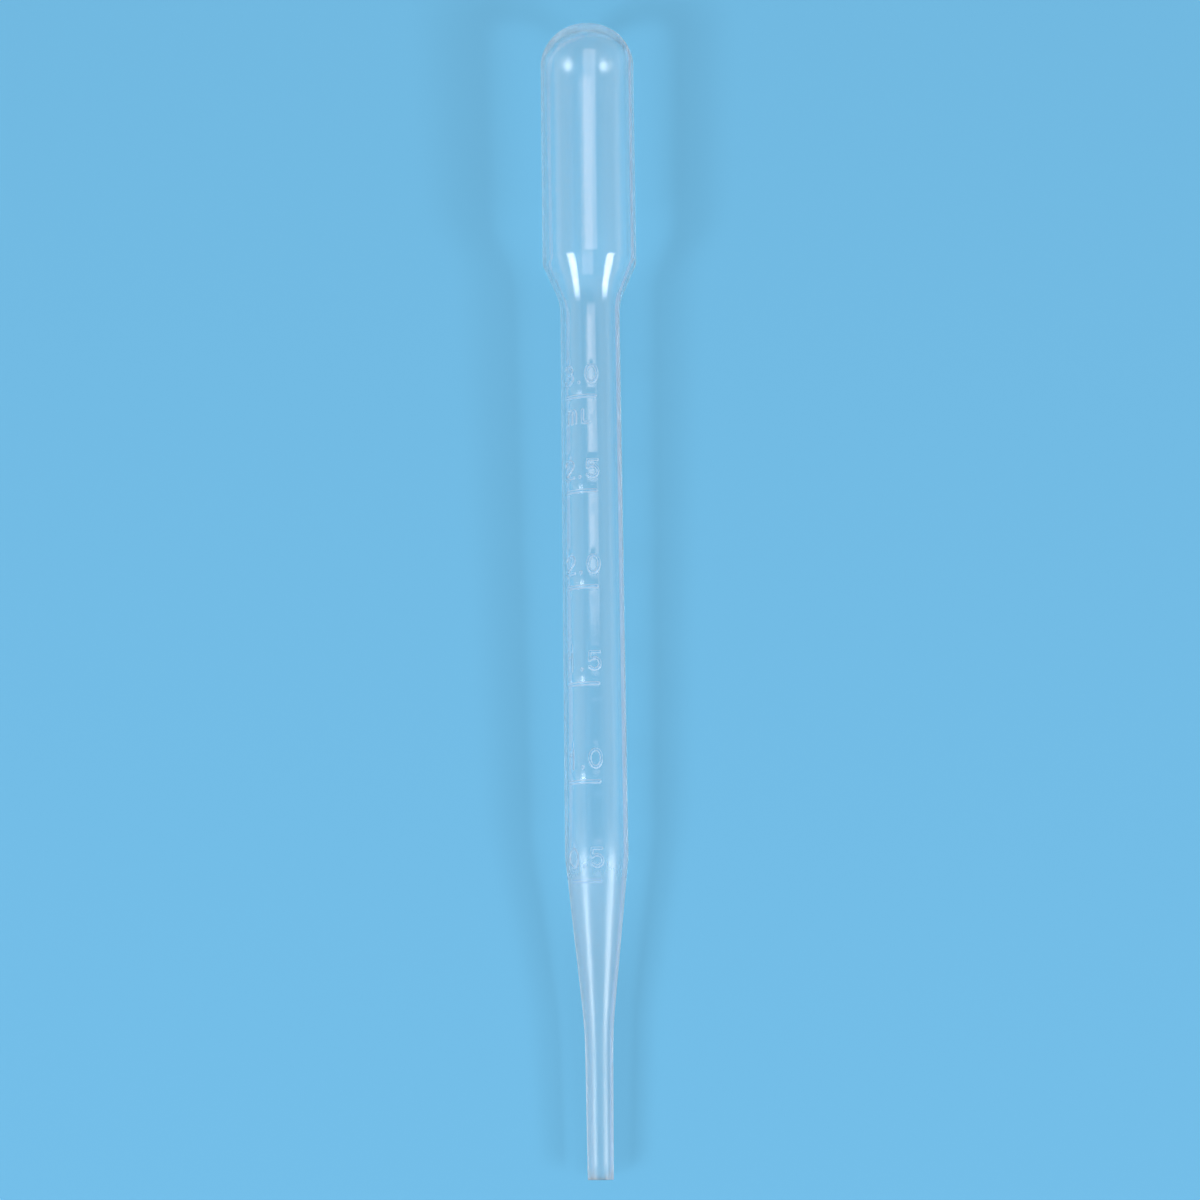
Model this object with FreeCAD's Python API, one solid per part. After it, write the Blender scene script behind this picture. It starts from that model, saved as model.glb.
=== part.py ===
import FreeCAD, Part
import math
import os

# A 3 mL dropper pipette, also called a transfer pipette, blow-moulded in one piece from
# natural low-density polyethylene: squeeze bulb, shoulder, graduated barrel, drawn taper and
# square-cut stem. It is hollow from the tip's mouth to the dome.
#
# The pipette is drawn on its own axis, +Y, with every station measured from the cut tip. At the
# end it is laid down as it rests on a flat surface, touching at the bulb's lower corner and at the
# barrel's lower corner. The frame's origin is under the middle of the pipette, on that surface.
# All sizes are in millimetres.

# ---- Driving dimensions ----

# lengths along the axis, from the tip up
stem_length = 19.0
taper_length = 22.3
barrel_length = 74.3
shoulder_length = 5.4
bulb_length = 27.85
dome_height = 5.8

# outside diameters
tip_diameter = 3.32
stem_top_diameter = 3.64
barrel_lower_diameter = 8.26
barrel_upper_diameter = 7.92
bulb_diameter = 12.60

# inside: the stem's bore is a plain hole, and the wall thins out where the plastic was blown wider
stem_bore = 2.40
barrel_wall = 0.52
bulb_wall = 0.40
dome_wall = 0.85

# outside corner radii of the profile
stem_blend = 60.0
barrel_corner = 9.0
shoulder_blend = 8.0
bulb_corner = 1.4

# graduations: raised bars, one for each half millilitre
mark_count = 6
mark_volume = 500.0
first_mark_station = 37.8
mark_height = 0.17
mark_width = 0.50
mark_half_span = 30.0
label_angle = -23.5

# parting line of the two mould halves, a quarter turn to each side of the graduations
seam_height = 0.07
seam_width = 0.22

# ---- Profile of the wall ----

ORIGIN = FreeCAD.Vector(0, 0, 0)
AXIS = FreeCAD.Vector(0, 1, 0)

stem_top = stem_length
barrel_start = stem_top + taper_length
barrel_end = barrel_start + barrel_length
bulb_start = barrel_end + shoulder_length
dome_start = bulb_start + bulb_length
overall_length = dome_start + dome_height

# each corner of the half profile: station, radius, corner rounding
outer_corners = [
    (0.0, tip_diameter / 2, 0.0),
    (stem_top, stem_top_diameter / 2, stem_blend),
    (barrel_start, barrel_lower_diameter / 2, barrel_corner),
    (barrel_end, barrel_upper_diameter / 2, shoulder_blend),
    (bulb_start, bulb_diameter / 2, bulb_corner),
    (dome_start, bulb_diameter / 2, 0.0),
]

# the inside follows one wall thickness further in, so concave corners open up and convex ones close
inner_corners = [
    (0.0, stem_bore / 2, 0.0),
    (stem_top, stem_bore / 2, stem_blend + barrel_wall),
    (barrel_start, barrel_lower_diameter / 2 - barrel_wall, barrel_corner - barrel_wall),
    (barrel_end, barrel_upper_diameter / 2 - barrel_wall, shoulder_blend + barrel_wall),
    (bulb_start, bulb_diameter / 2 - bulb_wall, bulb_corner - bulb_wall),
    (dome_start, bulb_diameter / 2 - bulb_wall, 0.0),
]


def point(station, radius):
    """A point of the half profile, in the plane that holds the axis."""
    return FreeCAD.Vector(radius, station, 0)


def corner_arc(before, corner, after):
    """The arc that rounds a corner of the profile: where it starts, its middle, its end and its centre."""
    here = point(corner[0], corner[1])
    back = (point(before[0], before[1]) - here).normalize()
    on = (point(after[0], after[1]) - here).normalize()
    half_angle = back.getAngle(on) / 2
    reach = corner[2] / math.tan(half_angle)
    inwards = (back + on).normalize()
    centre = here + inwards * (corner[2] / math.sin(half_angle))
    return here + back * reach, centre - inwards * corner[2], here + on * reach, centre


def profile_edges(corners, dome):
    """The half profile from the tip's cut end to the axis: straight runs, rounded corners and the dome."""
    edges = []
    at = point(corners[0][0], corners[0][1])
    for before, corner, after in zip(corners, corners[1:], corners[2:]):
        start, middle, end, _ = corner_arc(before, corner, after)
        edges.append(Part.makeLine(at, start))
        edges.append(Part.Arc(start, middle, end).toShape())
        at = end
    station, radius, _ = corners[-1]
    edges.append(Part.makeLine(at, point(station, radius)))
    quarter = Part.BezierCurve()
    quarter.setPoles([point(station, radius), point(station + dome, radius), point(station + dome, 0)])
    quarter.setWeight(2, math.sqrt(0.5))
    edges.append(quarter.toShape())
    return edges


def half_face(corners, dome):
    """The face between the half profile and the axis."""
    edges = profile_edges(corners, dome)
    top = point(corners[-1][0] + dome, 0)
    foot = point(corners[0][0], 0)
    edges.append(Part.makeLine(top, foot))
    edges.append(Part.makeLine(foot, point(corners[0][0], corners[0][1])))
    return Part.Face(Part.Wire(edges))


def outer_radius(station):
    """The outside radius at a station, on the straight runs of the profile."""
    for low, high in zip(outer_corners, outer_corners[1:]):
        if station <= high[0]:
            share = (station - low[0]) / (high[0] - low[0])
            return low[1] + share * (high[1] - low[1])
    return outer_corners[-1][1]


# ---- Graduation bars ----

# a bar is a round rod bent about the axis and sunk in the wall until its height and width are right
mark_rod = (mark_width ** 2 / 4 + mark_height ** 2) / (2 * mark_height)

# the bars are a volume apart, so their pitch comes from the barrel's mean bore
mean_bore = (barrel_lower_diameter + barrel_upper_diameter) / 2 - 2 * barrel_wall
mark_pitch = mark_volume / (math.pi * mean_bore ** 2 / 4)
mark_stations = [first_mark_station + i * mark_pitch for i in range(mark_count)]


def mark_bar(station):
    """One raised bar, centred on the label's direction, with rounded ends."""
    centre = FreeCAD.Vector(0, station, outer_radius(station) + mark_height - mark_rod)
    section = Part.Face(Part.Wire(Part.makeCircle(mark_rod, centre, FreeCAD.Vector(1, 0, 0))))
    section.rotate(ORIGIN, AXIS, label_angle - mark_half_span)
    rod = section.revolve(ORIGIN, AXIS, 2 * mark_half_span)
    ends = []
    for side in (-1, 1):
        ball = Part.makeSphere(mark_rod, centre)
        ball.rotate(ORIGIN, AXIS, label_angle + side * mark_half_span)
        ends.append(ball)
    return rod.fuse(ends)


# ---- Parting line ----


def seam_fin(angle):
    """Half of the parting line: a thin fin that stands proud of the profile all the way up and over."""
    raised = [(station, radius + seam_height, rounding) for station, radius, rounding in outer_corners]
    fin = half_face(raised, dome_height + seam_height)
    fin.translate(FreeCAD.Vector(0, 0, -seam_width / 2))
    fin = fin.extrude(FreeCAD.Vector(0, 0, seam_width))
    fin.rotate(ORIGIN, AXIS, angle)
    return fin


# ---- One moulding ----

outside = half_face(outer_corners, dome_height).revolve(ORIGIN, AXIS, 360)
hollow = half_face(inner_corners, dome_height - dome_wall).revolve(ORIGIN, AXIS, 360)
bars = [mark_bar(station) for station in mark_stations]

# half_face lies along +X, which is a quarter turn from +Z, the direction that angles are counted from
seams = [seam_fin(label_angle), seam_fin(label_angle + 180)]

pipette = outside.fuse(seams + bars).cut(hollow)
if pipette.ShapeType != "Solid":
    pipette = pipette.Solids[0]

# ---- At rest on a surface ----

# the surface touches two rounded corners of the profile, so it is their common tangent
_, _, _, low_centre = corner_arc(outer_corners[1], outer_corners[2], outer_corners[3])
_, _, _, high_centre = corner_arc(outer_corners[3], outer_corners[4], outer_corners[5])
between = high_centre - low_centre
rest_tilt = math.asin((bulb_corner - barrel_corner) / between.Length) + math.atan2(between.x, between.y)

pipette.rotate(ORIGIN, FreeCAD.Vector(1, 0, 0), math.degrees(rest_tilt))

# how far the axis, at the bulb's corner, stands above the surface
drop = high_centre.x * math.cos(rest_tilt) - high_centre.y * math.sin(rest_tilt) + bulb_corner
box = pipette.optimalBoundingBox()
pipette.translate(FreeCAD.Vector(0, -(box.YMin + box.YMax) / 2, drop))

# ---- Output ----

os.makedirs("parts", exist_ok=True)
pipette.exportStep("parts/pipette.step")

box = pipette.optimalBoundingBox()
print("overall length", round(overall_length, 2), "rest tilt", round(math.degrees(rest_tilt), 3))
print("mark pitch", round(mark_pitch, 3), "stations", [round(station, 2) for station in mark_stations])
print("valid", pipette.isValid(), "solids", len(pipette.Solids), "volume", round(pipette.Volume, 2))
print("box", [round(v, 3) for v in (box.XMin, box.YMin, box.ZMin, box.XMax, box.YMax, box.ZMax)])
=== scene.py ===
# %% [markdown]
# # A dropper pipette in natural polyethylene
#
# The object is a 3 mL dropper pipette, the soft plastic kind that a biology lab throws away after
# use. A tube of molten low-density polyethylene hangs between two halves of a mould, the mould
# closes, and air blows the tube out against it: the squeeze bulb, the shoulder, the barrel with its
# raised graduations and the thin stem are one piece of plastic with one hollow inside.
#
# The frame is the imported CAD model. It gives the box that the visual model has to stay in.

# %% Load the frame
import math
import bpy
import numpy as np
from mathutils import Matrix, Vector


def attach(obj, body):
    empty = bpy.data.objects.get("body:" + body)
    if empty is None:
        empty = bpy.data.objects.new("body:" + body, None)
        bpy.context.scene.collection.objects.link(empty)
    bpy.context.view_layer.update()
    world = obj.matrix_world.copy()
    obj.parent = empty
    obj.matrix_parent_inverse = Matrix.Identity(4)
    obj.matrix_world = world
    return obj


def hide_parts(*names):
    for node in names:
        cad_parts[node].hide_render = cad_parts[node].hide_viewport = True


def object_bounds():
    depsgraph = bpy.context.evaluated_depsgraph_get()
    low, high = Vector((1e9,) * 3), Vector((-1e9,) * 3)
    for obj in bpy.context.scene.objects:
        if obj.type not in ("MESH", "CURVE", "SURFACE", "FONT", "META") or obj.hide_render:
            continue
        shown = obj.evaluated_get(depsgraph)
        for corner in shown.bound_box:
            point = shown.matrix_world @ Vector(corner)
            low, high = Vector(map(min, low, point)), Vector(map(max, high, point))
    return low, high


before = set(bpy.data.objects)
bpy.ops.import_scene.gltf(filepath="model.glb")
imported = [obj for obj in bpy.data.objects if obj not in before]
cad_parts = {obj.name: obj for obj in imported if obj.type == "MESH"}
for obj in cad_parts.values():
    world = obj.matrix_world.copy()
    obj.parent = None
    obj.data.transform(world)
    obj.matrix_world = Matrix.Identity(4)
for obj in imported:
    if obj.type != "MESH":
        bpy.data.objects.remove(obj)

cad_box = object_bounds()
cad_box_mm = [[round(v * 1000, 2) for v in corner] for corner in cad_box]
print("frame:", sorted(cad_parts), "box in mm", cad_box_mm)

# %% [markdown]
# ## The profile
#
# A blow-moulded tube is round, so it is told by its half profile: how far the wall stands from the
# axis at each station, in millimetres from the cut tip. It could be drawn as a curve and spun with
# the Screw modifier, but the graduations are raised from the same skin, so here the profile is a
# function that gives a radius for any station. The mesh can then have rows wherever it needs them.
# Each corner is (station, radius, rounding), the same sizes as the CAD model's.

# %% Corners of the outside and the inside
barrel_lower = 4.13
barrel_upper = 3.96
bulb_radius = 6.30
barrel_wall = 0.52
bulb_wall = 0.40
dome_wall = 0.85
dome_height = 5.8

outside_corners = [
    (0.0, 1.66, 0.0),
    (19.0, 1.82, 60.0),
    (41.3, barrel_lower, 9.0),
    (115.6, barrel_upper, 8.0),
    (121.0, bulb_radius, 1.4),
    (148.85, bulb_radius, 0.0),
]
inside_corners = [
    (0.0, 1.20, 0.0),
    (19.0, 1.20, 60.0 + barrel_wall),
    (41.3, barrel_lower - barrel_wall, 9.0 - barrel_wall),
    (115.6, barrel_upper - barrel_wall, 8.0 + barrel_wall),
    (121.0, bulb_radius - bulb_wall, 1.4 - bulb_wall),
    (148.85, bulb_radius - bulb_wall, 0.0),
]
stem_top, barrel_start, barrel_end, bulb_start, dome_start = [corner[0] for corner in outside_corners[1:]]
print("straight part of the profile:", dome_start, "mm, and a dome of", dome_height, "mm")


# %% A radius for any station
def rounded_corner(before, corner, after):
    """Start, end and centre of the arc that rounds a corner, as numpy points (station, radius)."""
    here = np.array(corner[:2])
    back = np.array(before[:2]) - here
    on = np.array(after[:2]) - here
    back, on = back / np.hypot(*back), on / np.hypot(*on)
    half_angle = math.acos(float(back @ on)) / 2
    reach = corner[2] / math.tan(half_angle)
    inwards = (back + on) / np.hypot(*(back + on))
    return here + back * reach, here + on * reach, here + inwards * corner[2] / math.sin(half_angle)


def radius_at(corners, station):
    """Radius of the profile at each station up to the dome."""
    station = np.asarray(station, float)
    radius = np.interp(station, [c[0] for c in corners], [c[1] for c in corners])
    for before, corner, after in zip(corners, corners[1:], corners[2:]):
        start, end, centre = rounded_corner(before, corner, after)
        side = math.copysign(1.0, corner[1] - centre[1])
        on_arc = (station > start[0]) & (station < end[0])
        height = np.sqrt(np.maximum(corner[2] ** 2 - (station - centre[0]) ** 2, 0.0))
        radius = np.where(on_arc, centre[1] + side * height, radius)
    return radius


print("radius at 5, 41 and 130 mm:", np.round(radius_at(outside_corners, [5.0, 41.0, 130.0]), 3))

# %% [markdown]
# ## The raised figures
#
# The mould has bars and figures cut into it with a small round cutter, so on the pipette they stand
# up as soft ridges. Text objects with a Shrinkwrap would give sharp flat letters lying on the wall.
# Here each figure is a few pen strokes on the unrolled wall, and the skin is lifted by how near it
# is to a stroke, which gives the rounded ridge that a cutter leaves and keeps the pipette one skin.

# %% Pen strokes of the figures
def bend(cx, cy, rx, ry, start, end, steps=10):
    """Points along part of an ellipse, with angles in degrees."""
    return [
        (cx + rx * math.cos(math.radians(start + (end - start) * i / steps)),
         cy + ry * math.sin(math.radians(start + (end - start) * i / steps)))
        for i in range(steps + 1)
    ]


# each figure fills a box one wide and one high, centred on nought
pen = {
    "0": [bend(0, 0, 0.5, 0.5, 0, 360, 16)],
    "1": [[(-0.25, 0.24), (0.08, 0.5), (0.08, -0.5)]],
    "2": [bend(0, 0.21, 0.48, 0.29, 165, -25) + [(-0.5, -0.5), (0.5, -0.5)]],
    "3": [bend(-0.05, 0.25, 0.48, 0.25, 140, -90), bend(-0.05, -0.25, 0.55, 0.25, 90, -140)],
    "5": [[(0.42, 0.5), (-0.38, 0.5), (-0.44, 0.06)] + bend(-0.02, -0.18, 0.5, 0.32, 140, -145)],
    ".": [[(0, -0.5), (0, -0.48)]],
    "m": [[(-0.5, -0.5), (-0.5, 0.5)], bend(-0.25, 0.15, 0.25, 0.35, 180, 0) + [(0, -0.5)],
          bend(0.25, 0.15, 0.25, 0.35, 180, 0) + [(0.5, -0.5)]],
    "L": [[(-0.4, 0.5), (-0.4, -0.5), (0.5, -0.5)]],
}


def written(figure, across, up, width, height):
    """The strokes of one figure in millimetres on the unrolled wall."""
    return [[(across + x * width, up + y * height) for x, y in stroke] for stroke in pen[figure]]


print("figures:", " ".join(sorted(pen)))

# %% Where the graduations are
label_angle = math.radians(-23.5)
first_mark = 37.8
half_millilitre = 500.0
mean_bore = barrel_lower + barrel_upper - 2 * barrel_wall
mark_pitch = half_millilitre / (math.pi * mean_bore ** 2 / 4)
marks = [(round(0.5 * (i + 1), 1), first_mark + i * mark_pitch) for i in range(6)]

# a number stands over its bar, and the unit hangs under the top one
figure_rise = 3.0
figure_size = (1.50, 2.30)
figure_spacing = 1.70
unit_drop = 2.75
unit_size = 1.68


def label_strokes(volume, station):
    """The strokes that go with one bar: its number, and the unit under the top one."""
    whole, tenth = str(volume).split(".")
    up = station + figure_rise
    strokes = written(whole, -figure_spacing, up, *figure_size)
    strokes += written(".", 0.0, up, *figure_size)
    strokes += written(tenth, figure_spacing, up, *figure_size)
    if volume == marks[-1][0]:
        strokes += written("m", -1.15, station - unit_drop, 1.30, unit_size)
        strokes += written("L", 0.80, station - unit_drop, 0.85, unit_size)
    return strokes


print("bars at", [round(station, 2) for _, station in marks], "mm")


# %% Lift of the skin over a stroke
# further from a stroke than this, the distance doesn't matter
far_off = 9.0


def distance_to(strokes, across, up):
    """Distance in mm from each point of the unrolled wall to the nearest stroke."""
    nearest = np.full(across.shape, far_off)
    for stroke in strokes:
        for (ax, ay), (bx, by) in zip(stroke, stroke[1:]):
            run, rise = bx - ax, by - ay
            along = np.clip(((across - ax) * run + (up - ay) * rise) / (run ** 2 + rise ** 2), 0, 1)
            nearest = np.minimum(nearest, np.hypot(across - ax - along * run, up - ay - along * rise))
    return nearest


def ridge(distance, width, height):
    """Height of a round-topped ridge at a distance from its middle line."""
    rod = (width ** 2 / 4 + height ** 2) / (2 * height)
    return np.maximum(np.sqrt(np.maximum(rod ** 2 - distance ** 2, 0.0)) - (rod - height), 0.0)


bar_width, bar_height = 0.50, 0.17
figure_width, figure_height = 0.38, 0.13
bar_half_span = math.radians(30.0)
print("a bar is", bar_width, "mm wide and", bar_height, "mm high")

# %% [markdown]
# ## Rows and columns of the skin
#
# The skin is a grid: rows run round the pipette and columns run along it. Smooth stretches need few
# rows, and the small figures need one about every tenth of a millimetre, so the rows are gathered
# there. The parting line, where the two mould halves met, is a low ridge down each side, and it
# keeps a constant width, so the columns beside it are set in millimetres and not in degrees.
#
# In the CAD model it stands 0.07 mm proud. Light bends so much in so steep a ridge that it would draw
# a hard black line, so the ridge here is 0.03 mm, and a paler skin, a painted highlight, shows where it
# runs.


# %% Rows of the outside
def spaced(start, end, step):
    """Evenly spaced stations from start up to, but without, end."""
    count = max(1, round((end - start) / step))
    return list(start + (end - start) * np.arange(count) / count)


tip_round = 0.06
# how far apart the rows are, and how far each gathered stretch reaches to both sides of its middle
bar_step, figure_step, shoulder_step, plain_step, bulb_step = 0.06, 0.10, 0.25, 1.0, 1.2
bar_reach, figure_reach, unit_reach = 0.33, 1.45, 1.2

zones = []
for volume, station in marks:
    if volume == marks[-1][0]:
        zones.append((station - unit_drop - unit_reach, station - unit_drop + unit_reach, figure_step))
    zones.append((station - bar_reach, station + bar_reach, bar_step))
    zones.append((station + figure_rise - figure_reach, station + figure_rise + figure_reach, figure_step))
zones.append((barrel_end - 1.2, bulb_start + 0.8, shoulder_step))

rows = [tip_round]
at = tip_round
for start, end, step in zones:
    rows += spaced(at, start, plain_step)[1:] + spaced(start, end, step)
    at = end
rows += spaced(at, dome_start, bulb_step)
outside_rows = np.array(rows)
print(len(outside_rows), "rows up to the dome")

# %% Columns, by angle from the label's middle
seam_angle = math.radians(90.0)
seam_offsets = [-0.34, -0.14, -0.10, -0.05, 0.0, 0.05, 0.10, 0.14, 0.34]
# the front has close columns over the graduations and wider ones to each side of them
side_columns, label_columns = 12, 80
front = np.radians(np.concatenate([
    np.linspace(-86.0, -47.0, side_columns, endpoint=False),
    np.linspace(-46.0, 44.0, label_columns, endpoint=False),
    np.linspace(44.0, 86.0, side_columns + 1),
]))
back = np.radians(np.linspace(94.0, 266.0, 50))
seam_room = math.radians(4.0)


def columns_at(radius):
    """Angle of every column, from the label's middle, on a row of this radius."""
    offsets = np.array(seam_offsets) / max(radius, 1.2)
    reach = max(offsets[-1] + math.radians(0.7), seam_room)
    squeeze = (seam_angle - reach) / (seam_angle - seam_room)
    right = seam_angle + offsets
    left = 3 * seam_angle + offsets
    behind = 2 * seam_angle + (back - 2 * seam_angle) * squeeze
    return np.concatenate([front * squeeze, right, behind, left])


column_count = len(columns_at(4.0))
print(column_count, "columns")


# %% [markdown]
# ## One closed skin
#
# The outside grid carries the graduations, the parting line and the rounded rim of the tip. The
# inside grid is the air side of the same wall. It follows one wall thickness in, with a slight
# unevenness that grows with the blow, because nothing but air shaped it. A flat ring joins the two
# at the mouth of the tip, and each grid closes in a fan of triangles at the middle of the dome. The
# wall is then a real solid, so light bends in it and out of it as it does in the plastic.

# %% Heights of the outside above the plain profile
seam_width, seam_height = 0.22, 0.03
label_reach = 5.0


def from_top(angle):
    """Angle from the label's middle, between minus half a turn and half a turn."""
    return (angle + math.pi) % (2 * math.pi) - math.pi


def from_seam(angle, radius):
    """Distance over the skin to the nearer parting line, in mm."""
    return np.abs(np.abs(from_top(angle)) - seam_angle) * radius


def outside_relief(angle, station, radius):
    """How far the skin stands above the profile: bars, figures and parting line, in mm."""
    across = from_top(angle) * radius
    lift = np.zeros(angle.shape)
    for volume, mark in marks:
        near = np.abs(station - mark) < label_reach
        half = bar_half_span * radius
        past_end = np.maximum(np.abs(across) - half, 0.0)
        bar = ridge(np.hypot(past_end, station - mark), bar_width, bar_height)
        to_stroke = distance_to(label_strokes(volume, mark), across, station)
        text = ridge(to_stroke, figure_width, figure_height)
        lift = np.where(near, np.maximum(lift, np.maximum(bar, text)), lift)
    return np.maximum(lift, ridge(from_seam(angle, radius), seam_width, seam_height))


# waves round the ring: how many, how strong, where they start and how they drift along the tube
die_waves = [(5, 1.0, 0.3, 0.012), (8, 0.8, 2.1, -0.020), (13, 0.5, 4.4, 0.008), (17, 0.3, 1.2, 0.015)]


def die_lines(angle, station):
    """Fine lines along the inner face, left by the ring that the tube was pushed through, in mm."""
    lines = np.zeros(angle.shape)
    for count, size, turn, drift in die_waves:
        lines += size * np.sin(count * angle + turn + drift * station)
    # the blow stretches them out of the wide parts and leaves them in the stem
    places = [0.0, stem_top, barrel_start, barrel_end, bulb_start]
    return np.interp(station, places, [0.014, 0.014, 0.010, 0.004, 0.002]) * lines


def blown_unevenness(angle, station):
    """Slow wander of the inner face, with the die lines on it, in mm."""
    wander = np.sin(2 * angle + 0.05 * station + 0.6) + 0.6 * np.sin(3 * angle - 0.11 * station + 2.0)
    wander += 0.8 * np.sin(0.21 * station + 1.1) * np.cos(angle - 0.4)
    blown = np.clip((station - stem_top) / 30.0, 0.0, 1.0)
    return 0.014 * wander * blown + die_lines(angle, station)


# %% The two grids as points
def dome_rows(radius, height, steps):
    """Rows over the dome, as (station, radius), without the middle point."""
    turn = np.radians(90.0 * np.arange(steps) / steps)
    return dome_start + height * np.sin(turn), radius * np.cos(turn)


def grid_points(station, radius, angle):
    """Points of a grid, rows by columns, on the pipette's own axis."""
    station, radius, turn = np.broadcast_arrays(station, radius, angle + label_angle)
    return np.stack([radius * np.sin(turn), station, radius * np.cos(turn)], axis=-1)


dome_steps = 30
dome_station, dome_radius = dome_rows(bulb_radius, dome_height, dome_steps)
row_station = np.concatenate([outside_rows, dome_station])
row_radius = np.concatenate([radius_at(outside_corners, outside_rows), dome_radius])
out_angle = np.array([columns_at(r) for r in row_radius])
out_station = np.repeat(row_station[:, None], column_count, axis=1)
out_base = np.repeat(row_radius[:, None], column_count, axis=1)
out_lift = outside_relief(out_angle, out_station, out_base)
out_radius = out_base + out_lift
outside = grid_points(out_station, out_radius, out_angle)

# three more rows roll the outside over the tip's cut edge
rim = []
for turn in np.radians([90.0, 60.0, 30.0]):
    rim_station = tip_round * (1 - math.sin(turn))
    rim_radius = out_radius[0] - tip_round * (1 - math.cos(turn))
    rim.append(grid_points(rim_station, rim_radius, out_angle[0]))
outside = np.concatenate([np.array(rim), outside])
print("outside grid", outside.shape)

# %% The inside grid
# the inside has no graduations, so it takes only every third of the close columns
label_end = side_columns + label_columns
inside_pick = [i for i in range(column_count) if not (side_columns <= i < label_end and i % 3)]
inside_rows = np.array(
    spaced(0.0, stem_top - 4.0, 2.0) + spaced(stem_top - 4.0, barrel_start + 2.0, 0.8)
    + spaced(barrel_start + 2.0, barrel_end - 2.0, 1.2) + spaced(barrel_end - 2.0, bulb_start + 1.2, 0.3)
    + spaced(bulb_start + 1.2, dome_start, 1.4)
)
in_dome_station, in_dome_radius = dome_rows(
    bulb_radius - bulb_wall, dome_height - dome_wall, dome_steps)
in_row_station = np.concatenate([inside_rows, in_dome_station])
in_row_radius = np.concatenate([radius_at(inside_corners, inside_rows), in_dome_radius])
in_angle = np.array([columns_at(1.65)[inside_pick] for _ in in_row_radius])
in_station = np.repeat(in_row_station[:, None], len(inside_pick), axis=1)
in_radius = np.repeat(in_row_radius[:, None], len(inside_pick), axis=1)
in_radius = in_radius + blown_unevenness(in_angle, in_station) * np.minimum(in_radius / 3.0, 1.0)
inside = grid_points(in_station, in_radius, in_angle)
print("inside grid", inside.shape)


# %% Faces
def grid_faces(first, shape, flip):
    """Four-sided faces between the rows of a grid that closes on itself."""
    faces = []
    for row in range(shape[0] - 1):
        low, high = first + row * shape[1], first + (row + 1) * shape[1]
        for col in range(shape[1]):
            beside = (col + 1) % shape[1]
            face = (low + col, low + beside, high + beside, high + col)
            faces.append(face[::-1] if flip else face)
    return faces


def fan_faces(first, count, middle, flip):
    """Triangles from a grid's last row to a middle point."""
    faces = []
    for col in range(count):
        face = (first + col, first + (col + 1) % count, middle)
        faces.append(face[::-1] if flip else face)
    return faces


in_first = outside.shape[0] * outside.shape[1]
out_middle = in_first + inside.shape[0] * inside.shape[1]
in_middle = out_middle + 1

faces = grid_faces(0, outside.shape, False)
faces += fan_faces(in_first - outside.shape[1], outside.shape[1], out_middle, False)
faces += grid_faces(in_first, inside.shape, True)
faces += fan_faces(out_middle - inside.shape[1], inside.shape[1], in_middle, True)

# the mouth: from each inner column to the next, one flat face takes in the outer columns between
for i, column in enumerate(inside_pick):
    beside = (i + 1) % len(inside_pick)
    stop = inside_pick[beside] or column_count
    outer_edge = [c % column_count for c in range(column, stop + 1)]
    faces.append(tuple([in_first + i, in_first + beside] + outer_edge[::-1]))

points = np.concatenate([
    outside.reshape(-1, 3), inside.reshape(-1, 3),
    [(0.0, dome_start + dome_height, 0.0), (0.0, dome_start + dome_height - dome_wall, 0.0)],
])
print(len(points), "points,", len(faces), "faces")

# %% [markdown]
# ## Lying down
#
# Left on a bench the pipette rests on the lower corner of its bulb and the lower corner of its
# barrel, so its axis leans by the common tangent of those two rounded corners. The same formula is
# used here as in the CAD model, and the box of the frame says where the ends come.

# %% Lean and place
_, _, low_centre = rounded_corner(*outside_corners[1:4])
_, _, high_centre = rounded_corner(*outside_corners[3:6])
between = high_centre - low_centre
low_round, high_round = outside_corners[2][2], outside_corners[4][2]
lean = math.asin((high_round - low_round) / np.hypot(*between)) + math.atan2(between[1], between[0])

leaned = points @ np.array([
    [1, 0, 0], [0, math.cos(lean), math.sin(lean)], [0, -math.sin(lean), math.cos(lean)],
])
axis_height = high_centre[1] * math.cos(lean) - high_centre[0] * math.sin(lean) + high_round
slide = cad_box[0][1] * 1000 - leaned[:, 1].min()
leaned += [0, slide, axis_height]
axis_middle = (axis_height - slide * math.tan(lean)) / 1000
print("lean", round(math.degrees(lean), 3), "degrees")
print("box in mm", leaned.min(0).round(3), leaned.max(0).round(3))

# %% Make the mesh
mesh = bpy.data.meshes.new("pipette_moulding")
mesh.from_pydata((leaned / 1000).tolist(), [], faces)
mesh.validate()
mesh.shade_smooth()
moulding = bpy.data.objects.new("pipette_moulding", mesh)
bpy.context.scene.collection.objects.link(moulding)
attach(moulding, "root")
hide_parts("pipette")
triangle_count = sum(len(face.vertices) - 2 for face in mesh.polygons)
print("triangles:", triangle_count, "faces", len(mesh.polygons), "of", len(faces))


# %% [markdown]
# ## Colours and nodes
#
# Colours are written as the sRGB hex that a paint card would give, and one function turns them into
# the linear values that Blender's shaders work in. A second function adds a node, with its settings
# and with values or links for its inputs, so that each material reads as a short list. A third
# starts a material with no nodes in it.

# %% Three helpers
def colour(hex_code):
    """Linear red, green, blue and alpha of an sRGB hex colour."""
    parts = [int(hex_code[i:i + 2], 16) / 255 for i in (0, 2, 4)]
    return tuple(c / 12.92 if c <= 0.04045 else ((c + 0.055) / 1.055) ** 2.4 for c in parts) + (1.0,)


def add(tree, kind, inputs=None, **settings):
    """A new node. Each input is a value, or the output socket that feeds it."""
    node = tree.nodes.new(kind)
    for name, value in settings.items():
        setattr(node, name, value)
    for name, value in (inputs or {}).items():
        if isinstance(value, bpy.types.NodeSocket):
            tree.links.new(value, node.inputs[name])
        else:
            node.inputs[name].default_value = value
    return node


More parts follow.
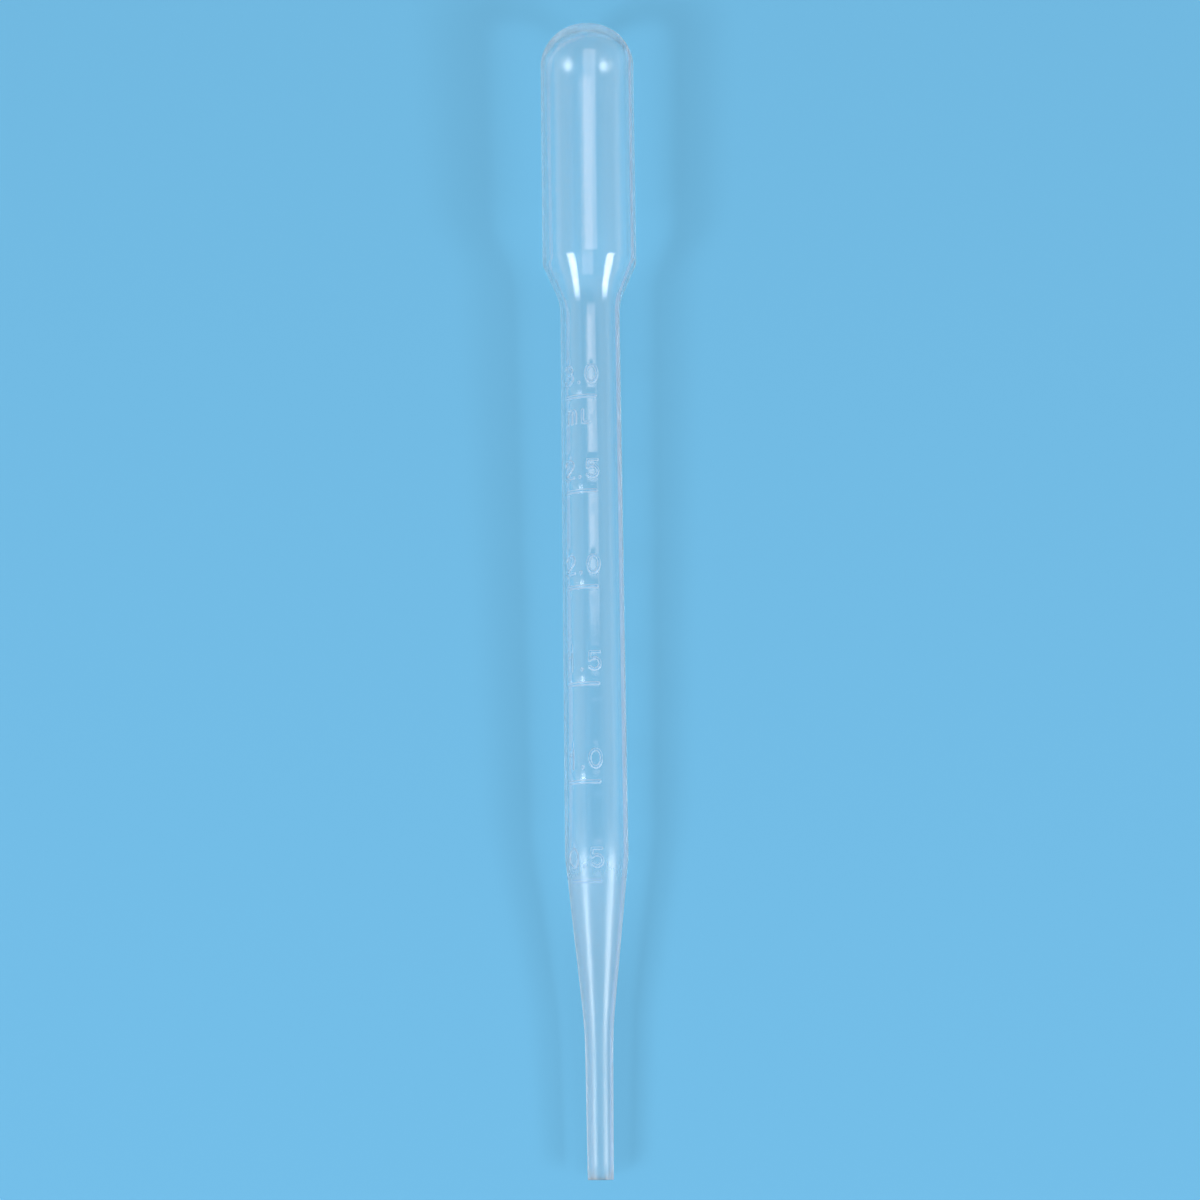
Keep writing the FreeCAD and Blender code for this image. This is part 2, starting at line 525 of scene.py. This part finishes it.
def empty_material(name):
    """A material without nodes, and its node tree."""
    material = bpy.data.materials.new(name)
    material.use_nodes = True
    material.node_tree.nodes.clear()
    return material, material.node_tree


# %% [markdown]
# ## Natural low-density polyethylene, blow-moulded
#
# Natural LDPE has no pigment, and its index is about 1.51. The outside took its finish from the
# mould, which is blasted so that air can get away: it is a little satin, and seen edge-on its fine
# grain looks like a faint white mist, which is what the sheen is for. The inside touched nothing but
# air, so along the barrel and the bulb it is nearly as smooth as glass. Where the plastic was cut or
# pinched it is whitened, and the same pale skin along the parting lines and on the steep sides of the
# bars and figures is a painted highlight. That makes three materials.
#
# Light that falls on the plastic mostly goes straight through to the card below. A clear shader
# alone would block it all the same, so every skin turns transparent for shadow rays, and for the
# diffuse light that the card sends back. The satin skin also tints the shadow rays: a tube turns
# aside the light that grazes it, which makes a dark band to each side, and gathers some of it again
# right below. Nothing traces that light: how much is turned aside and gathered is given here.

# %% Letting light through to the card
ldpe_index = 1.51
# the drawn end, below the barrel, turns into the smoother barrel between these places along Y
drawn_until, barrel_from = -0.040, -0.030


def let_light_through(tree, skin, passed):
    """Join a skin to the output, transparent to shadow rays, which are tinted, and to diffuse rays."""
    path = add(tree, "ShaderNodeLightPath")
    dimmed = add(tree, "ShaderNodeMix", {"Factor": path.outputs["Is Shadow Ray"], "A": 1.0, "B": passed})
    clear = add(tree, "ShaderNodeBsdfTransparent", {"Color": dimmed.outputs["Result"]})
    lit_through = add(tree, "ShaderNodeMath", {
        0: path.outputs["Is Shadow Ray"], 1: path.outputs["Is Diffuse Ray"]}, operation="MAXIMUM")
    both = add(tree, "ShaderNodeMixShader", {
        0: lit_through.outputs[0], 1: skin.outputs[0], 2: clear.outputs[0]})
    add(tree, "ShaderNodeOutputMaterial", {"Surface": both.outputs[0]})


# %% The inside
air_side, tree = empty_material("natural LDPE, smooth from the air")
place = add(tree, "ShaderNodeTexCoord")
xyz = add(tree, "ShaderNodeSeparateXYZ", {"Vector": place.outputs["Object"]})
# the drawn end cooled before the air could smooth it
drawn = add(tree, "ShaderNodeMapRange", {
    "Value": xyz.outputs["Y"], "From Min": drawn_until, "From Max": barrel_from,
    "To Min": 0.26, "To Max": 0.02})
# and the dome, where the tube was pinched shut, kept some of its roughness
domed = add(tree, "ShaderNodeMapRange", {
    "Value": xyz.outputs["Y"], "From Min": 0.060, "From Max": 0.070, "To Min": 0.0, "To Max": 0.14})
uneven_finish = add(tree, "ShaderNodeMath", {
    0: drawn.outputs["Result"], 1: domed.outputs["Result"]}, operation="ADD")
smooth_skin = add(tree, "ShaderNodeBsdfPrincipled", {
    "Base Color": colour("FFFFFF"), "Roughness": uneven_finish.outputs[0], "IOR": ldpe_index,
    "Transmission Weight": 1.0})
let_light_through(tree, smooth_skin, 1.0)
print("material:", air_side.name)

# %% The outside
ldpe, tree = empty_material("natural LDPE, satin from the mould")
place = add(tree, "ShaderNodeTexCoord")
# die lines: the tube was pushed through a ring, which leaves streaks along it about 0.6 mm apart
streak_width, streak_length = 0.0006, 0.030
streak_place = add(tree, "ShaderNodeMapping", {
    "Vector": place.outputs["Object"], "Scale": (1 / streak_width, 1 / streak_length, 1 / streak_width)})
streaks = add(tree, "ShaderNodeTexNoise", {
    "Vector": streak_place.outputs["Vector"], "Scale": 1.0, "Detail": 2.0, "Roughness": 0.5})
# the fine grain of the mould, drawn coarser than a real one so that it shows
grain_size = 0.00025
grain = add(tree, "ShaderNodeTexNoise", {
    "Vector": place.outputs["Object"], "Scale": 1 / grain_size, "Detail": 1.0, "Roughness": 0.5})
uneven = add(tree, "ShaderNodeMath", {0: streaks.outputs["Fac"], 1: 3.0}, operation="MULTIPLY")
relief = add(tree, "ShaderNodeMath", {0: uneven.outputs[0], 1: grain.outputs["Fac"]}, operation="ADD")
bump = add(tree, "ShaderNodeBump", {
    "Height": relief.outputs[0], "Strength": 0.5, "Distance": 0.00001})
satin = add(tree, "ShaderNodeMapRange", {
    "Value": streaks.outputs["Fac"], "From Min": 0.3, "From Max": 0.7, "To Min": 0.06, "To Max": 0.12})
# the drawn end below the barrel was stretched little, so it kept a coarser skin
xyz = add(tree, "ShaderNodeSeparateXYZ", {"Vector": place.outputs["Object"]})
coarse = add(tree, "ShaderNodeMapRange", {
    "Value": xyz.outputs["Y"], "From Min": drawn_until, "From Max": barrel_from,
    "To Min": 0.22, "To Max": 0.0})
roughness = add(tree, "ShaderNodeMath", {
    0: satin.outputs["Result"], 1: coarse.outputs["Result"]}, operation="ADD")
mist = add(tree, "ShaderNodeValToRGB", {"Fac": streaks.outputs["Fac"]})
mist.color_ramp.elements[0].position = 0.3
mist.color_ramp.elements[0].color = colour("FDFEFF")
mist.color_ramp.elements[1].position = 0.7
mist.color_ramp.elements[1].color = colour("FFFFFF")

skin = add(tree, "ShaderNodeBsdfPrincipled", {
    "Base Color": mist.outputs["Color"], "Roughness": roughness.outputs[0], "IOR": ldpe_index,
    "Transmission Weight": 0.984, "Sheen Weight": 0.45, "Sheen Roughness": 0.45,
    "Normal": bump.outputs["Normal"]})
# lamps shine straight through the wall, except where they graze the upper side and are turned aside
edge_on = add(tree, "ShaderNodeLayerWeight", {"Blend": 0.5})
axis_here = add(tree, "ShaderNodeMath", {
    0: xyz.outputs["Y"], 1: math.tan(lean), 2: axis_middle}, operation="MULTIPLY_ADD")
above_axis = add(tree, "ShaderNodeMath", {
    0: xyz.outputs["Z"], 1: axis_here.outputs[0]}, operation="SUBTRACT")
upper = add(tree, "ShaderNodeMapRange", {
    "Value": above_axis.outputs[0], "From Min": -0.0002, "From Max": 0.0006})
grazed = add(tree, "ShaderNodeMath", {
    0: edge_on.outputs["Facing"], 1: upper.outputs["Result"]}, operation="MULTIPLY")
shade = add(tree, "ShaderNodeMapRange", {
    "Value": grazed.outputs[0], "From Min": 0.10, "From Max": 0.40, "To Min": 1.0, "To Max": 0.25})
# the stem's wall is thick for its width, so it turns aside more
thick = add(tree, "ShaderNodeMapRange", {
    "Value": xyz.outputs["Y"], "From Min": -0.055, "From Max": -0.040, "To Min": 0.79, "To Max": 1.0})
# and the bulb's is the thinnest
thin = add(tree, "ShaderNodeMapRange", {
    "Value": xyz.outputs["Y"], "From Min": 0.036, "From Max": 0.046, "To Min": 1.0, "To Max": 1.08})
by_wall = add(tree, "ShaderNodeMath", {
    0: thick.outputs["Result"], 1: thin.outputs["Result"]}, operation="MULTIPLY")
# the light that was turned aside gathers again right under the pipette
share_up = add(tree, "ShaderNodeMath", {
    0: xyz.outputs["Z"], 1: axis_here.outputs[0]}, operation="DIVIDE")
gathered = add(tree, "ShaderNodeMapRange", {
    "Value": share_up.outputs[0], "From Min": 0.23, "From Max": 0.38, "To Min": 1.22, "To Max": 1.0})
turned = add(tree, "ShaderNodeMath", {
    0: shade.outputs["Result"], 1: gathered.outputs["Result"]}, operation="MULTIPLY")
passed = add(tree, "ShaderNodeMath", {
    0: turned.outputs[0], 1: by_wall.outputs[0]}, operation="MULTIPLY")
let_light_through(tree, skin, passed.outputs[0])
print("material:", ldpe.name)

# %% The whitened places and the painted highlights
cut_and_highlight, tree = empty_material("natural LDPE, whitened where it was cut or pinched")
# the pale skin: whitened plastic at the cut tip, and a painted highlight on the seams, bars and figures
cut_and_highlight_skin = add(tree, "ShaderNodeBsdfPrincipled", {
    "Base Color": colour("DFEDFF"), "Roughness": 0.36, "IOR": ldpe_index, "Transmission Weight": 0.74,
    "Sheen Weight": 0.4, "Sheen Roughness": 0.5})
let_light_through(tree, cut_and_highlight_skin, 1.0)
print("material:", cut_and_highlight.name)

# %% Which faces get which
# a face gets the pale skin, a painted highlight, where the skin rises steeper than this, or lies this near
# to a parting line, in mm
highlight_slope = 0.45
seam_highlight_half_width = 0.65

# how steeply the skin rises across and along each face of the outside grid
column_step = np.diff(out_angle, axis=1, append=out_angle[:, :1] + 2 * math.pi) * out_base
row_step = np.maximum(np.diff(out_station, axis=0, append=out_station[-1:] + 1.0), 0.01)
across_slope = np.diff(out_lift, axis=1, append=out_lift[:, :1]) / column_step
along_slope = np.diff(out_lift, axis=0, append=out_lift[-1:]) / row_step
steep = np.hypot(across_slope, along_slope) > highlight_slope

# the band along each parting line gets the pale skin as a painted highlight
near_seam = from_seam(out_angle, out_base) < seam_highlight_half_width
seam_highlight = near_seam & np.roll(near_seam, -1, axis=1)
white = np.concatenate([np.zeros((len(rim), column_count), bool), steep | seam_highlight])
white[0] = True

# %% Give each face its skin
mesh.materials.clear()
for skin_material in (ldpe, air_side, cut_and_highlight):
    mesh.materials.append(skin_material)
SATIN, SMOOTH, WHITE = range(3)

for i, face in enumerate(mesh.polygons):
    corners = sorted(face.vertices)
    if i < white.size - column_count:
        face.material_index = WHITE if white.flat[i] else SATIN
    elif corners[0] >= in_first and out_middle not in corners:
        face.material_index = SMOOTH
    elif corners[0] < column_count:
        face.material_index = WHITE
counts = [sum(face.material_index == i for face in mesh.polygons) for i in (SATIN, SMOOTH, WHITE)]
print("faces that are satin, smooth and whitened:", counts)

# %% [markdown]
# ## Floor, light and camera
#
# A clear object takes its colour from what lies behind it, so the floor is a plain pale sky blue
# card. The light is soft and nearly white. A tent of white cloth gives a little light from all
# round, and shows as the pale mist over the plastic. A row of key lamps to each side makes the
# bright highlights, and a panel overhead the long pale strip up the bulb. These would make hard
# light on the card, so they are kept off it, and three softer lamps light the card instead.

# %% The floor
bpy.ops.mesh.primitive_plane_add(size=6.0, location=(0, 0, 0))
floor = bpy.context.object
floor.name = "floor_card"
card, tree = empty_material("pale blue card")
card_paint = add(tree, "ShaderNodeBsdfPrincipled", {
    "Base Color": colour("6CB7E3"), "Roughness": 0.9, "Specular IOR Level": 0.2})
add(tree, "ShaderNodeOutputMaterial", {"Surface": card_paint.outputs[0]})
floor.data.materials.append(card)

# %% The world
world = bpy.data.worlds.new("light tent")
bpy.context.scene.world = world
world.use_nodes = True
tent = world.node_tree
tent.nodes.clear()
direction = add(tent, "ShaderNodeTexCoord")
# white cloth all round, with a dim opening overhead, a little to the left
towards_opening = (-0.20, 0.08, 0.977)
opening = add(tent, "ShaderNodeVectorMath", {
    0: direction.outputs["Generated"], 1: towards_opening}, operation="DOT_PRODUCT")
cloth = add(tent, "ShaderNodeMapRange", {
    "Value": opening.outputs["Value"], "From Min": math.cos(math.radians(38.0)),
    "From Max": math.cos(math.radians(20.0)), "To Min": 0.44, "To Max": 0.06},
    interpolation_type="SMOOTHSTEP")
# low down, where the cloth is nearest to the side lamps, it glows more
level = add(tent, "ShaderNodeSeparateXYZ", {"Vector": direction.outputs["Generated"]})
low = add(tent, "ShaderNodeMapRange", {
    "Value": level.outputs["Z"], "From Min": 0.0, "From Max": 0.30, "To Min": 2.1, "To Max": 1.0})
lit_cloth = add(tent, "ShaderNodeMath", {
    0: cloth.outputs["Result"], 1: low.outputs["Result"]}, operation="MULTIPLY")
glow = add(tent, "ShaderNodeBackground", {"Color": colour("FFFFFF"), "Strength": lit_cloth.outputs[0]})
add(tent, "ShaderNodeOutputWorld", {"Surface": glow.outputs[0]})
world.cycles.sampling_method = "NONE"
print("world:", world.name)


# %% The lamps
def soft_lamp(name, place, width, length, radiance):
    """A rectangular lamp hung parallel to the pipette and facing it, as bright as this against white."""
    lamp = bpy.data.lights.new(name, "AREA")
    lamp.shape = "RECTANGLE"
    lamp.size, lamp.size_y = width, length
    # the energy, in watts, that makes a rectangle of this size that bright
    lamp.energy = radiance * 4 * width * length
    holder = bpy.data.objects.new(name, lamp)
    holder.location = place
    holder.rotation_euler = (0, math.atan2(place[0], place[2]), 0)
    bpy.context.scene.collection.objects.link(holder)
    return holder


# the keys, from the tip's end to the bulb's: where along, how long and how bright
keys = [("key_far", -0.46, 0.34, 6.5), ("key_near", -0.20, 0.18, 4.0), ("key_end", -0.055, 0.11, 1.4)]
key_sides = {"left": (-0.77, 0.64), "right": (0.85, 0.53)}
key_width = 0.34
for side, (across, height) in key_sides.items():
    for name, along, length, radiance in keys:
        key = soft_lamp(f"{name}_{side}", (across, along, height), key_width, length, radiance)
        key.visible_diffuse = False

# the panel overhead is a little warm, and makes the pale strip up the bulb
panel = soft_lamp("panel_overhead", (0.07, 0.29, 0.84), 0.46, 0.34, 1.45)
panel.data.color = colour("FFE8DC")[:3]
panel.visible_diffuse = False

# %% The lamps for the card
floor_lamp_length = 0.30
floor_lamps = [
    ("floor_left", (-0.64, -0.42, 0.65), 0.30, 13.0),
    ("floor_right", (0.72, -0.42, 0.60), 0.30, 12.9),
    ("floor_end", (0.0, 0.42, 0.76), 0.40, 4.7),
]
for name, place, width, radiance in floor_lamps:
    lamp = soft_lamp(name, place, width, floor_lamp_length, radiance)
    lamp.visible_glossy = False
    lamp.visible_transmission = False

# floor_end only evens out the card towards the bulb, so it is a little warm and casts no shadow
end_light = bpy.data.lights["floor_end"]
end_light.color = colour("FFE9D6")[:3]
end_light.use_shadow = False

# %% The camera
tilt = math.radians(11.54)
roll = math.radians(-0.735)
distance = 0.4
aim = Vector((0.00084, -0.00122, 0.0))
camera = bpy.data.cameras.new("camera")
camera.lens = 89.8
camera.sensor_width = 36.0
stand = bpy.data.objects.new("camera", camera)
stand.matrix_world = (
    Matrix.Translation(aim + Vector((0, -math.sin(tilt), math.cos(tilt))) * distance)
    @ Matrix.Rotation(tilt, 4, "X")
    @ Matrix.Rotation(roll, 4, "Z")
)
bpy.context.scene.collection.objects.link(stand)
bpy.context.scene.camera = stand
bpy.context.scene.view_settings.view_transform = "Standard"
print("camera:", camera.lens, "mm lens,", round(math.degrees(tilt), 1), "degrees from straight down")

# light goes round inside the wall many times before it comes out, so the paths have to be long
light_paths = bpy.context.scene.cycles
light_paths.max_bounces = 24
light_paths.glossy_bounces = 24
light_paths.transmission_bounces = 24
light_paths.transparent_max_bounces = 32
